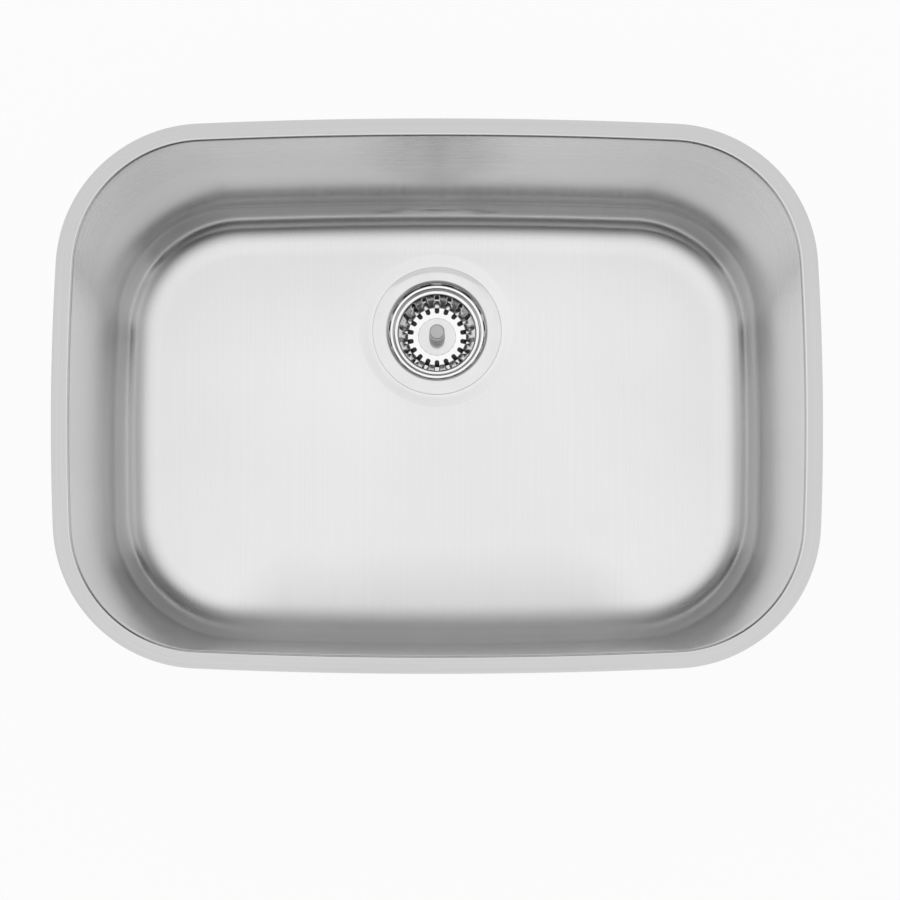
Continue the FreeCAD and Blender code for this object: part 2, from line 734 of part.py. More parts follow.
def draw_slot(sketch, inner, outer, width):
    """A round-ended slot along the sketch's Y axis, between two distances from the origin."""
    near, far = inner + width / 2, outer - width / 2
    side = width / 2
    flat = FreeCAD.Vector(0, 0, 1)
    low = Part.Circle(vector(ZERO, near), flat, side.value)
    high = Part.Circle(vector(ZERO, far), flat, side.value)
    right = Part.LineSegment(vector(side, near), vector(side, far))
    left = Part.LineSegment(vector(-side, far), vector(-side, near))
    first = sketch.addGeometry(Part.ArcOfCircle(low, math.pi, 2 * math.pi), False)
    up = sketch.addGeometry(right, False)
    last = sketch.addGeometry(Part.ArcOfCircle(high, 0, math.pi), False)
    down = sketch.addGeometry(left, False)
    loop = [first, up, last, down]
    for one, following in zip(loop, loop[1:] + loop[:1]):
        sketch.addConstraint(Sketcher.Constraint("Tangent", one, 2, following, 1))
    hold_point(sketch, first, 3, ZERO, near)
    hold_point(sketch, last, 3, ZERO, far)
    hold(sketch, "Diameter", (first,), width)


def make_basket():
    """The strainer basket: a flat rim, a ledge, and a cone whose slots turn in under its floor."""
    body = drain_body("basket")
    rim, rim_bore = s.basket_rim / 2, s.basket_rim_bore / 2
    ledge_outer, ledge_inner, floor = s.ledge_outer / 2, s.ledge_inner / 2, s.basket_floor / 2
    ledge = basket_rim - s.ledge_drop
    sheet_gauge = s.basket_steel
    turn(
        body,
        "basket_form",
        [
            (rim, basket_rim),
            (rim_bore, basket_rim),
            (ledge_outer, ledge),
            (ledge_inner, ledge),
            (floor, basket_floor),
            (stem_hole, basket_floor),
            (stem_hole, stopper_top),
            (floor + sheet_gauge / 2, stopper_top),
            (ledge_inner + sheet_gauge, ledge - sheet_gauge),
            (ledge_outer + sheet_gauge, ledge - sheet_gauge),
            (rim_bore + sheet_gauge, basket_rim - sheet_gauge),
            (rim, basket_rim - sheet_gauge),
        ],
    )
    outline = new_sketch(body, "slot_outline", "XY_Plane")
    draw_slot(outline, s.slot_inner / 2, s.slot_outer / 2, s.slot_width)
    slot = body.newObject("PartDesign::Pocket", "slot")
    slot.Profile = outline
    slot.Type = "ThroughAll"
    doc.recompute()
    repeat(body, "slots", slot, SLOTS)
    return body


def make_knob_post():
    """The knob, slightly tapered, with the stem that runs down through the basket."""
    body = drain_body("knob_post")
    stem, top = s.stem / 2, plate_top + s.knob_height
    turn(
        body,
        "knob_form",
        [
            (ZERO, stem_foot),
            (stem, stem_foot),
            (stem, plate_top),
            (s.knob_foot / 2, plate_top),
            (s.knob_top / 2, top),
            (ZERO, top),
        ],
    )
    round_off(body, "knob_top_edge", s.knob_round, circle_at(s.knob_top / 2, top))
    return body


def make_stopper():
    """The rubber stopper, which closes the throat from above."""
    body = drain_body("stopper")
    turn(
        body,
        "stopper_form",
        [
            (stem_hole, stopper_foot),
            (s.stopper_foot / 2, stopper_foot),
            (s.stopper_foot / 2, stopper_foot + s.stopper_edge),
            (s.stopper_top / 2, stopper_top),
            (stem_hole, stopper_top),
        ],
    )
    return body


def make_stem_nut():
    body = drain_body("stem_nut")
    outline = new_sketch(body, "stem_nut_outline", "XY_Plane", stopper_foot - s.backing_thickness)
    # A hexagon's corners lie at its flats times the secant of 30 degrees.
    corner = s.nut_flats / 2 / cosine(as_size(30))
    flat = s.nut_flats / 2
    draw_polygon(
        outline,
        [
            (corner, ZERO),
            (corner / 2, flat),
            (-corner / 2, flat),
            (-corner, ZERO),
            (-corner / 2, -flat),
            (corner / 2, -flat),
        ],
    )
    draw_circle(outline, s.stem + s.thread_clearance * 2)
    extrude(body, "stem_nut_form", outline, s.nut_height)
    return body


thread_gap = s.cup_thread / 2 + s.washer_clearance
washer_foot = -s.steel - s.washer_thickness
backing_foot = stopper_foot - s.backing_thickness
pieces = [
    make_bowl(),
    make_floor_pad(),
    make_wall_pad("front_pad", True, -1),
    make_wall_pad("rear_pad", True, 1),
    make_wall_pad("left_pad", False, -1),
    make_wall_pad("right_pad", False, 1),
    make_strainer_cup(),
    make_outlet_spigot(),
    ring("flange_gasket", s.gasket_bore / 2, s.gasket_outer / 2, ZERO, s.flange_crown - s.cup_steel),
    ring("rubber_washer", thread_gap, s.washer_outer / 2, washer_foot, -s.steel),
    ring("friction_ring", thread_gap, s.ring_outer / 2, lock_nut_top, washer_foot),
    make_lock_nut(),
    ring("slip_washer", s.slip_bore / 2, s.spigot_thread / 2, slip_end, spigot_end),
    make_coupling_nut(),
    make_basket(),
    ring("knob_plate", stem_hole, s.plate / 2, basket_floor, plate_top),
    make_knob_post(),
    make_stopper(),
    ring("backing_washer", stem_hole, s.backing / 2, backing_foot, stopper_foot),
    make_stem_nut(),
    ring("stem_grip", s.stem / 2, s.grip / 2, stem_foot, stem_foot + s.grip_length),
]
doc.recompute()

for item in doc.Objects:
    if "Invalid" in item.State or "Error" in item.State:
        raise RuntimeError(f"{item.Name} did not build: {item.State}")
os.makedirs("parts", exist_ok=True)
for piece in pieces:
    shape = piece.Shape
    if shape.isNull() or not shape.isValid() or len(shape.Solids) != 1:
        raise RuntimeError(f"{piece.Label} is not one sound solid")
    print(f"{piece.Label}: {shape.Volume / 1000:.2f} cm3")
for piece in pieces:
    piece.Shape.exportStep(f"parts/{piece.Label}.step")
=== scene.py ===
import bpy
import bmesh
from math import asin, atan2, cos, hypot, pi, radians, sin, sqrt, tan
from mathutils import Matrix, Vector


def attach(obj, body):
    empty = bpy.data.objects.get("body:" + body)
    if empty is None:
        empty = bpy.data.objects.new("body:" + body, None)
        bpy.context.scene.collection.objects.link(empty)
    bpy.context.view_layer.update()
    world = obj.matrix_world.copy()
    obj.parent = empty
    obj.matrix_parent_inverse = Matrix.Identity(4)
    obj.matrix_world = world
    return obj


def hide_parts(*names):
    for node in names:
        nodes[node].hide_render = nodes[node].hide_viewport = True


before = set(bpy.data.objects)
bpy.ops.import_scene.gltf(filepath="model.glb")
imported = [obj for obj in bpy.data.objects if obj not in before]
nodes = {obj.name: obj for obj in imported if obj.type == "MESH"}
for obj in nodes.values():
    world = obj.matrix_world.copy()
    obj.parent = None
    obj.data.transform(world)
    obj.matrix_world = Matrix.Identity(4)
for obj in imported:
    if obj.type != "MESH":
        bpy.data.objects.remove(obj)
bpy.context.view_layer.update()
scene = bpy.context.scene
scene.view_settings.view_transform = "Standard"
print("frame loaded:", len(nodes), "nodes")

mm = 0.001
drainY = 83 * mm  # drain axis, behind the middle of the bowl
seatZ = -202 * mm  # flat seat in the drain's recess
noiseSpan = (0.3, 0.7)  # where most of a noise's values lie
wholeSpan = (0, 1)
bumpDepth = 0.3 * mm


# materials

def newMaterial(name):
    material = bpy.data.materials.new(name)
    material.use_nodes = True
    nodeTree = material.node_tree
    shader = nodeTree.nodes["Principled BSDF"]
    return material, nodeTree, shader


def addNode(nodeTree, kind, **settings):
    node = nodeTree.nodes.new(kind)
    for key, value in settings.items():
        setattr(node, key, value)
    return node


# Each value is another node's output or a constant.
def feed(nodeTree, sockets, values):
    for socket, value in zip(sockets, values):
        if isinstance(value, bpy.types.NodeSocket):
            nodeTree.links.new(value, socket)
        else:
            socket.default_value = value


def joined(nodeTree, kind, first, second, **settings):
    node = addNode(nodeTree, kind, **settings)
    feed(nodeTree, node.inputs, (first, second))
    return node.outputs[0]


def computed(nodeTree, operation, first, second=0.0):
    return joined(nodeTree, "ShaderNodeMath", first, second, operation=operation)


def objectPlace(nodeTree):
    place = addNode(nodeTree, "ShaderNodeTexCoord").outputs["Object"]
    parts = addNode(nodeTree, "ShaderNodeSeparateXYZ")
    nodeTree.links.new(place, parts.inputs[0])
    return place, parts.outputs


def attribute(nodeTree, name):
    return addNode(nodeTree, "ShaderNodeAttribute", attribute_name=name).outputs["Fac"]


def stretchedNoise(nodeTree, vector, scale, detail=3.0):
    stretched = joined(nodeTree, "ShaderNodeVectorMath", vector, scale, operation="MULTIPLY")
    noise = addNode(nodeTree, "ShaderNodeTexNoise")
    noise.inputs["Scale"].default_value = 1.0
    noise.inputs["Detail"].default_value = detail
    nodeTree.links.new(stretched, noise.inputs["Vector"])
    return noise.outputs["Fac"]


def mapped(nodeTree, value, low, high, span):
    node = addNode(nodeTree, "ShaderNodeMapRange")
    node.inputs["From Min"].default_value = span[0]
    node.inputs["From Max"].default_value = span[1]
    node.inputs["To Min"].default_value = low
    node.inputs["To Max"].default_value = high
    nodeTree.links.new(value, node.inputs["Value"])
    return node.outputs["Result"]


def mixedValue(nodeTree, share, first, second):
    node = addNode(nodeTree, "ShaderNodeMix", data_type="FLOAT")
    sockets = [node.inputs[name] for name in ("Factor", "A", "B")]
    feed(nodeTree, sockets, (share, first, second))
    return node.outputs["Result"]


def tinted(nodeTree, value, dark, light):
    ramp = addNode(nodeTree, "ShaderNodeValToRGB")
    for element, colour, position in zip(ramp.color_ramp.elements, (dark, light), noiseSpan):
        element.color = (*colour, 1)
        element.position = position
    nodeTree.links.new(value, ramp.inputs["Fac"])
    return ramp.outputs["Color"]


# Puts one more colour over what already feeds the shader.
def recoloured(nodeTree, shader, share, colour, blend):
    node = addNode(nodeTree, "ShaderNodeMixRGB", blend_type=blend)
    nodeTree.links.new(share, node.inputs["Fac"])
    nodeTree.links.new(shader.inputs["Base Color"].links[0].from_socket, node.inputs["Color1"])
    node.inputs["Color2"].default_value = (*colour, 1)
    nodeTree.links.new(node.outputs["Color"], shader.inputs["Base Color"])


def bumped(nodeTree, shader, height, strength):
    bump = addNode(nodeTree, "ShaderNodeBump")
    bump.inputs["Strength"].default_value = strength
    bump.inputs["Distance"].default_value = bumpDepth
    nodeTree.links.new(height, bump.inputs["Height"])
    nodeTree.links.new(bump.outputs["Normal"], shader.inputs["Normal"])


def finishShader(nodeTree, shader, looks, colourValue, roughValue):
    colour = tinted(nodeTree, colourValue, looks["dark"], looks["light"])
    nodeTree.links.new(colour, shader.inputs["Base Color"])
    rough = mapped(nodeTree, roughValue, *looks["rough"], noiseSpan)
    nodeTree.links.new(rough, shader.inputs["Roughness"])
    shader.inputs["Metallic"].default_value = looks["metal"]
    bumped(nodeTree, shader, roughValue, looks["bump"])


bowlLooks = {
    # stretches of the noises, per metre
    "wallGrain": (10, 10, 1500),
    "streaks": (2, 2, 400),
    "floorGrain": (1300, 7, 7),
    "cloud": (6, 6, 6),
    "streakShare": 0.5,
    "cloudShares": (0.5, 0.15),
    # tones of the steel, of the zones that differ, and of the painted light over the drain's recess
    "dark": (0.776, 0.776, 0.778),
    "light": (0.872, 0.872, 0.874),
    "flange": (0.73, 0.73, 0.732),
    "outside": (0.56, 0.56, 0.565),
    # painted light: a lighter tone laid over the drain's recess in place of its shade
    "recess": (0.93, 0.93, 0.93),
    "rough": (0.13, 0.2),
    # roughness that is added by zone, and where each zone starts and ends
    "softEnds": 0.07,
    "softUpper": 0.12,
    "softFloor": 0.17,
    "softFront": 0.34,
    "softOutside": 0.24,
    "endSpan": (0.24, 0.29),
    "upperSpan": (-0.13, -0.06),
    "frontSpan": (-0.165, -0.04),
    "middleSpan": (0.13, 0.25),
    "backSpan": (0, 0.1),
    "bendSpan": (-0.175, -0.15),
    "metal": 1.0,
    "bump": 0.02,
}


# Brushed round the walls and the flange, and front to back on the floor.
def makeBowlSteel():
    material, nodeTree, shader = newMaterial("brushedBowlSteel")
    looks = bowlLooks
    place, parts = objectPlace(nodeTree)
    floorShare = attribute(nodeTree, "floorShare")
    rimShare = attribute(nodeTree, "rimShare")
    outside = attribute(nodeTree, "outside")
    around = addNode(nodeTree, "ShaderNodeCombineXYZ")
    feed(nodeTree, around.inputs, (parts["X"], parts["Y"], attribute(nodeTree, "travelled")))
    wallGrain = stretchedNoise(nodeTree, around.outputs[0], looks["wallGrain"])
    streaks = stretchedNoise(nodeTree, around.outputs[0], looks["streaks"], 4.0)
    floorGrain = stretchedNoise(nodeTree, place, looks["floorGrain"])
    wallTone = mixedValue(nodeTree, looks["streakShare"], wallGrain, streaks)
    tone = mixedValue(nodeTree, floorShare, wallTone, floorGrain)
    grain = mixedValue(nodeTree, floorShare, wallGrain, floorGrain)
    cloud = stretchedNoise(nodeTree, place, looks["cloud"], 2.0)
    cloudShare = mapped(nodeTree, rimShare, *looks["cloudShares"], wholeSpan)
    finishShader(nodeTree, shader, looks, mixedValue(nodeTree, cloudShare, tone, cloud), grain)

    # the long bends keep the clearest reflections
    across = computed(nodeTree, "ABSOLUTE", parts["X"])
    softer = mapped(nodeTree, across, 0, looks["softEnds"], looks["endSpan"])
    behind = mapped(nodeTree, parts["Y"], 0, looks["softUpper"], looks["backSpan"])
    high = mapped(nodeTree, parts["Z"], 0, 1, looks["upperSpan"])
    upper = computed(nodeTree, "MULTIPLY", behind, high)
    before = mapped(nodeTree, parts["Y"], looks["softFront"], 0, looks["frontSpan"])
    low = mapped(nodeTree, parts["Z"], 1, 0, looks["bendSpan"])
    middle = mapped(nodeTree, across, 1, 0, looks["middleSpan"])
    front = computed(nodeTree, "MULTIPLY", computed(nodeTree, "MULTIPLY", before, low), middle)
    floor = mapped(nodeTree, floorShare, 0, looks["softFloor"], wholeSpan)
    unpolished = mapped(nodeTree, outside, 0, looks["softOutside"], wholeSpan)
    for zone in (upper, front, floor, unpolished):
        softer = computed(nodeTree, "MAXIMUM", softer, zone)
    fine = shader.inputs["Roughness"].links[0].from_socket
    nodeTree.links.new(computed(nodeTree, "ADD", fine, softer), shader.inputs["Roughness"])

    # painted light: the drain's recess is painted lighter, most at its front, to lift its shade
    recoloured(nodeTree, shader, attribute(nodeTree, "paintedRecessLight"), looks["recess"], "MIX")
    recoloured(nodeTree, shader, rimShare, looks["flange"], "MULTIPLY")
    recoloured(nodeTree, shader, outside, looks["outside"], "MULTIPLY")
    return material


plainGrain = {"broad": (40, 40, 40), "share": 0.4}
turnedGrain = {"lines": (2200, 1, 2200), "broad": (45, 45, 45), "share": 0.5}


def makePlain(name, looks):
    material, nodeTree, shader = newMaterial(name)
    place = addNode(nodeTree, "ShaderNodeTexCoord").outputs["Object"]
    fine = stretchedNoise(nodeTree, place, (looks["grain"],) * 3, 6.0)
    broad = stretchedNoise(nodeTree, place, plainGrain["broad"], 2.0)
    tone = mixedValue(nodeTree, plainGrain["share"], fine, broad)
    finishShader(nodeTree, shader, looks, tone, fine)
    return material


# Fine rings about the drain's axis, as a lathe leaves them.
def makeTurned(name, looks):
    material, nodeTree, shader = newMaterial(name)
    place, parts = objectPlace(nodeTree)
    fromAxis = joined(nodeTree, "ShaderNodeVectorMath", place, (0, drainY, 0), operation="SUBTRACT")
    level = joined(nodeTree, "ShaderNodeVectorMath", fromAxis, (1, 1, 0), operation="MULTIPLY")
    radius = addNode(nodeTree, "ShaderNodeVectorMath", operation="LENGTH")
    nodeTree.links.new(level, radius.inputs[0])
    rings = addNode(nodeTree, "ShaderNodeCombineXYZ")
    feed(nodeTree, rings.inputs, (radius.outputs["Value"], 0.0, parts["Z"]))
    lines = stretchedNoise(nodeTree, rings.outputs[0], turnedGrain["lines"])
    broad = stretchedNoise(nodeTree, place, turnedGrain["broad"], 2.0)
    tone = mixedValue(nodeTree, turnedGrain["share"], lines, broad)
    finishShader(nodeTree, shader, looks, tone, lines)
    return material


polishedLooks = {
    "dark": (0.72, 0.72, 0.72),
    "light": (0.80, 0.80, 0.80),
    "rough": (0.07, 0.12),
    "metal": 1.0,
    "bump": 0.01,
}
basketLooks = {
    "dark": (0.88, 0.88, 0.88),
    "light": (0.95, 0.95, 0.95),
    "rough": (0.12, 0.18),
    "metal": 1.0,
    "bump": 0.01,
}
satinLooks = {
    "dark": (0.42, 0.42, 0.42),
    "light": (0.52, 0.52, 0.52),
    "rough": (0.24, 0.34),
    "metal": 1.0,
    "bump": 0.03,
}
brassLooks = {
    "dark": (0.54, 0.52, 0.48),
    "light": (0.68, 0.66, 0.62),
    "rough": (0.15, 0.28),
    "metal": 1.0,
    "bump": 0.05,
}
plainLooks = {
    "dark": (0.48, 0.48, 0.48),
    "light": (0.62, 0.62, 0.61),
    "rough": (0.28, 0.42),
    "metal": 1.0,
    "bump": 0.08,
    "grain": 900,
}
zincLooks = {
    "dark": (0.34, 0.34, 0.35),
    "light": (0.50, 0.50, 0.51),
    "rough": (0.40, 0.60),
    "metal": 1.0,
    "bump": 0.30,
    "grain": 700,
}
padLooks = {
    "dark": (0.05, 0.05, 0.055),
    "light": (0.11, 0.11, 0.115),
    "rough": (0.62, 0.85),
    "metal": 0.0,
    "bump": 0.45,
    "grain": 420,
}
sealLooks = {
    "dark": (0.012, 0.012, 0.012),
    "light": (0.03, 0.03, 0.03),
    "rough": (0.45, 0.62),
    "metal": 0.0,
    "bump": 0.15,
    "grain": 1200,
}
fibreLooks = {
    "dark": (0.34, 0.23, 0.13),
    "light": (0.56, 0.42, 0.26),
    "rough": (0.75, 0.92),
    "metal": 0.0,
    "bump": 0.35,
    "grain": 1500,
}
slipLooks = {
    "dark": (0.72, 0.72, 0.69),
    "light": (0.84, 0.84, 0.82),
    "rough": (0.36, 0.50),
    "metal": 0.0,
    "bump": 0.06,
    "grain": 800,
}
brushedBowl = makeBowlSteel()
polishedSteel = makeTurned("polishedStrainerSteel", polishedLooks)
basketSteel = makeTurned("basketSteel", basketLooks)
satinSteel = makeTurned("satinKnobSteel", satinLooks)
platedBrass = makeTurned("nickelPlatedBrass", brassLooks)
plainSteel = makePlain("plainSteel", plainLooks)
castZinc = makePlain("castZinc", zincLooks)
padRubber = makePlain("padRubber", padLooks)
sealRubber = makePlain("sealRubber", sealLooks)
fibreBoard = makePlain("pressedFibre", fibreLooks)
whitePolythene = makePlain("whitePolythene", slipLooks)
print("materials made")


# shared ways of making a piece

near = 0.01 * mm  # how close a point lies to a ring that it belongs to
hold = {"past": 1.15, "extra": 0.12, "most": 0.42}  # how far past a rounded corner its flat is held
thread = {"foot": 0.45, "crown": 0.12, "steps": 60}  # half widths in pitches, and steps in a turn
lug = {"near": 0.1, "sharp": radians(40), "steps": 2}


def newPiece(name, bm, material, body, replaced):
    mesh = bpy.data.meshes.new(name)
    bm.to_mesh(mesh)
    bm.free()
    for polygon in mesh.polygons:
        polygon.use_smooth = True
    piece = bpy.data.objects.new(name, mesh)
    scene.collection.objects.link(piece)
    mesh.materials.append(material)
    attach(piece, body)
    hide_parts(*replaced)
    return piece


def ringEdges(bm, radius, height):
    picked = []
    for edge in bm.edges:
        spots = [(hypot(v.co.x, v.co.y - drainY), v.co.z - seatZ) for v in edge.verts]
        if all(abs(r - radius) < near and abs(z - height) < near for r, z in spots):
            picked.append(edge)
    return picked


def roundEdges(bm, edges, offset, segments):
    bmesh.ops.bevel(
        bm,
        geom=edges,
        offset=offset * mm,
        segments=segments,
        profile=0.5,
        affect="EDGES",
        material=-1,
    )


# Turns a sheet's faces so that its wet side is the front.
def faceUp(bm):
    bmesh.ops.recalc_face_normals(bm, faces=bm.faces)
    lowest = min(bm.faces, key=lambda face: face.calc_center_median().z)
    if lowest.normal.z < 0:
        bmesh.ops.reverse_faces(bm, faces=bm.faces)


# A point on the profile beside a rounded corner, which keeps the flat next to it flat.
def holdingPoint(corner, neighbour):
    r, z, rounding, _ = corner
    alongR, alongZ = neighbour[0] - r, neighbour[1] - z
    share = (rounding * hold["past"] + hold["extra"]) / hypot(alongR, alongZ)
    if rounding == 0 or share > hold["most"]:
        return []
    return [(r + alongR * share, z + alongZ * share, 0, 0)]


# Spins a half profile of (radius, height, rounding, steps) in mm about the drain's axis.
def turnPiece(profile, segments=144, bm=None):
    held = []
    for i, corner in enumerate(profile):
        following = profile[(i + 1) % len(profile)]
        held += holdingPoint(corner, profile[i - 1]) + [corner] + holdingPoint(corner, following)
    bm = bm or bmesh.new()
    corners = [bm.verts.new((r * mm, drainY, seatZ + z * mm)) for r, z, _, _ in held]
    lines = []
    for first, second in zip(corners, corners[1:] + corners[:1]):
        if max(first.co.x, second.co.x) > 0:
            lines.append(bm.edges.new((first, second)))
    bmesh.ops.spin(
        bm,
        geom=corners + lines,
        cent=(0, drainY, 0),
        axis=(0, 0, 1),
        angle=2 * pi,
        steps=segments,
        use_merge=True,
    )
    bmesh.ops.remove_doubles(bm, verts=bm.verts, dist=1e-6)
    bmesh.ops.recalc_face_normals(bm, faces=bm.faces)
    for r, z, rounding, steps in profile:
        if not rounding:
            for edge in ringEdges(bm, r * mm, z * mm):
                edge.smooth = False
        else:
            roundEdges(bm, ringEdges(bm, r * mm, z * mm), rounding, steps)
    return bm


# A helical ridge from one level up to another: its section is four corners, spun as it climbs.
def addThread(bm, core, crest, pitch, bottom, top):
    foot, crown = thread["foot"], thread["crown"]
    section = [(core, -foot), (crest, -crown), (crest, crown), (core, foot)]
    corners = [bm.verts.new((r * mm, drainY, seatZ + (bottom + z * pitch) * mm)) for r, z in section]
    face = bm.faces.new(corners)
    turns = (top - bottom) / pitch
    steps = int(turns * thread["steps"])
    bmesh.ops.spin(
        bm,
        geom=corners + face.edges[:] + [face],
        cent=(0, drainY, 0),
        axis=(0, 0, 1),
        dvec=(0, 0, (top - bottom) * mm / steps),
        angle=2 * pi * turns,
        steps=steps,
    )
    bmesh.ops.recalc_face_normals(bm, faces=bm.faces)


# Draws lugs out of a turned nut's outer wall, then rounds every sharp edge.
def addLugs(bm, nut):
    sector = 2 * pi / nut["lugs"]
    halfWidth = nut["halfFaces"] * 2 * pi / nut["segments"]
    wall = (nut["outside"] - lug["near"]) * mm
    for i in range(nut["lugs"]):
        along = Vector((cos(i * sector), sin(i * sector), 0))
        picked = []
        for face in bm.faces:
            centre = face.calc_center_median() - Vector((0, drainY, 0))
            turn = atan2(centre.y, centre.x) - i * sector
            aside = abs((turn + pi) % (2 * pi) - pi)
            if hypot(centre.x, centre.y) > wall and aside < halfWidth:
                picked.append(face)
        made = bmesh.ops.extrude_face_region(bm, geom=picked)["geom"]
        for vert in made:
            if isinstance(vert, bmesh.types.BMVert):
                out = (vert.co - Vector((0, drainY, 0))).dot(along)
                vert.co += along * (nut["reach"] * mm - out)
    sharp = [edge for edge in bm.edges if edge.is_manifold and edge.calc_face_angle() > lug["sharp"]]
    roundEdges(bm, sharp, nut["rounding"], lug["steps"])
    bmesh.ops.recalc_face_normals(bm, faces=bm.faces)


# bowl

bowl = {
    "rimLength": 625,
    "rimWidth": 454,
    "rimCorner": 120,
    "endArc": 2250,
    "sideArc": 4400,
    "flange": 14.5,
    "steel": 1.2,
    "depth": 200,
    "draft": radians(8),
    "floorCorner": 105,
    "bend": 40,
    "lip": 3.2,
    "dish": 11000,
    "endSteps": 22,
    "cornerSteps": 26,
    "sideSteps": 36,
    "flangeRows": (0, 0.6, 4, 8),
    "lipHold": 0.4,
    "lipSteps": 10,
    "wallSteps": 15,
    "bendSteps": 24,
    "floorSteps": 14,
    "flangeRings": 7,  # rows from the rim's edge that have the flange's tone
    "grainLead": 12,  # rows before the floor where its grain and softness begin
    "grainRows": 8,
    # painted light over the drain's recess: its share, and how much more it gets towards the front
    "paintedRecessLightBase": 0.5,
    "paintedRecessLightFront": 0.4,
    "edge": 0.25,
    "edgeSteps": 2,
    "edgeAngle": radians(50),
}


# One ring of the bowed outline, drawn in by an inset, as (x, y) in mm.
def bowedRing(inset, corner):
    endR = bowl["endArc"] - inset
    sideR = bowl["sideArc"] - inset
    endX = bowl["rimLength"] / 2 - inset - endR
    sideY = bowl["rimWidth"] / 2 - inset - sideR
    span = hypot(endX, sideY)
    along = ((endR - corner) ** 2 - (sideR - corner) ** 2 + span**2) / (2 * span)
    away = sqrt((endR - corner) ** 2 - along**2)
    cornerX = endX - endX / span * along - sideY / span * away
    cornerY = sideY / span * along - endX / span * away
    endTurn = atan2(cornerY, cornerX - endX)
    sideTurn = atan2(cornerY - sideY, cornerX)
    arcs = [
        (endX, 0, endR, -endTurn, endTurn, bowl["endSteps"]),
        (cornerX, cornerY, corner, endTurn, sideTurn, bowl["cornerSteps"]),
        (0, sideY, sideR, sideTurn, pi - sideTurn, bowl["sideSteps"]),
        (-cornerX, cornerY, corner, pi - sideTurn, pi - endTurn, bowl["cornerSteps"]),
        (-endX, 0, endR, pi - endTurn, pi + endTurn, bowl["endSteps"]),
        (-cornerX, -cornerY, corner, pi + endTurn, pi + sideTurn, bowl["cornerSteps"]),
        (0, -sideY, sideR, pi + sideTurn, 2 * pi - sideTurn, bowl["sideSteps"]),
        (cornerX, -cornerY, corner, -sideTurn, -endTurn, bowl["cornerSteps"]),
    ]
    ring = []
    for x, y, radius, start, end, steps in arcs:
        for i in range(steps):
            turn = start + (end - start) * i / steps
            ring.append((x + radius * cos(turn), y + radius * sin(turn)))
    return ring


def dishRise(x, y):
    return (x * x + (y - drainY / mm) ** 2) / (2 * bowl["dish"])


# The wet side's rows from the rim to the floor's edge: inset, depth, corner, share of the dish.
def bowlRows():
    lean, lip, bend = bowl["draft"], bowl["lip"], bowl["bend"]
    turned = pi / 2 - lean
    lipStart = bowl["flange"] - lip * tan(turned / 2)
    insets = (*bowl["flangeRows"], lipStart - bowl["lipHold"])
    rows = [(inset, 0, bowl["rimCorner"] - inset, 0) for inset in insets]
    for i in range(bowl["lipSteps"] + 1):
        angle = turned * i / bowl["lipSteps"]
        inset = lipStart + lip * sin(angle)
        rows.append((inset, -lip + lip * cos(angle), bowl["rimCorner"] - min(inset, bowl["flange"]), 0))
    footInset = bowl["flange"] + bowl["depth"] * tan(lean)
    bendCentre = footInset + bend * tan(turned / 2)
    topDepth = rows[-1][1]
    bendTop = bend - bowl["depth"] - bend * sin(lean)
    mouthCorner = bowl["rimCorner"] - bowl["flange"]
    for i in range(1, bowl["wallSteps"]):
        share = i / bowl["wallSteps"]
        depth = topDepth + (bendTop - topDepth) * share
        corner = mouthCorner + depth / bowl["depth"] * (mouthCorner - bowl["floorCorner"])
        rows.append((bowl["flange"] - depth * tan(lean), depth, corner, share))
    for i in range(bowl["bendSteps"] + 1):
        angle = lean + turned * i / bowl["bendSteps"]
        inset = bendCentre - bend * cos(angle)
        depth = bend - bowl["depth"] - bend * sin(angle)
        rows.append((inset, depth, bowl["floorCorner"] - max(0, inset - footInset), 1))
    return rows


# the drain's recess from the floor in to the hole, as radius and drop
recess = [
    (66.4, 0),
    (65.7, 0.11),
    (64.8, -0.06),
    (60.6, -1.05),
    (57.6, -1.73),
    (56.6, -1.93),
    (55.5, -2),
    (50, -2),
    (45, -2),
]


# Every ring of the wet side in mm, and how many of them lie outside the floor.
def bowlRings():
    rings = []
    for inset, depth, corner, share in bowlRows():
        flat = bowedRing(inset, corner)
        rings.append([(x, y, depth + dishRise(x, y) * share) for x, y in flat])
    wallRings = len(rings)
    edge = rings[-1]
    centre = drainY / mm
    turns = [atan2(y - centre, x) for x, y, _ in edge]
    mouthRadius = recess[0][0]
    mouth = [(mouthRadius * cos(turn), centre + mouthRadius * sin(turn)) for turn in turns]
    for i in range(1, bowl["floorSteps"]):
        share = i / bowl["floorSteps"]
        ring = []
        for (edgeX, edgeY, _), (mouthX, mouthY) in zip(edge, mouth):
            x = edgeX + (mouthX - edgeX) * share
            y = edgeY + (mouthY - edgeY) * share
            ring.append((x, y, dishRise(x, y) - bowl["depth"]))
        rings.append(ring)
    for radius, drop in recess:
        base = dishRise(radius, centre) if drop == 0 else 0
        depth = base + drop - bowl["depth"]
        rings.append([(radius * cos(turn), centre + radius * sin(turn), depth) for turn in turns])
    return rings, wallRings


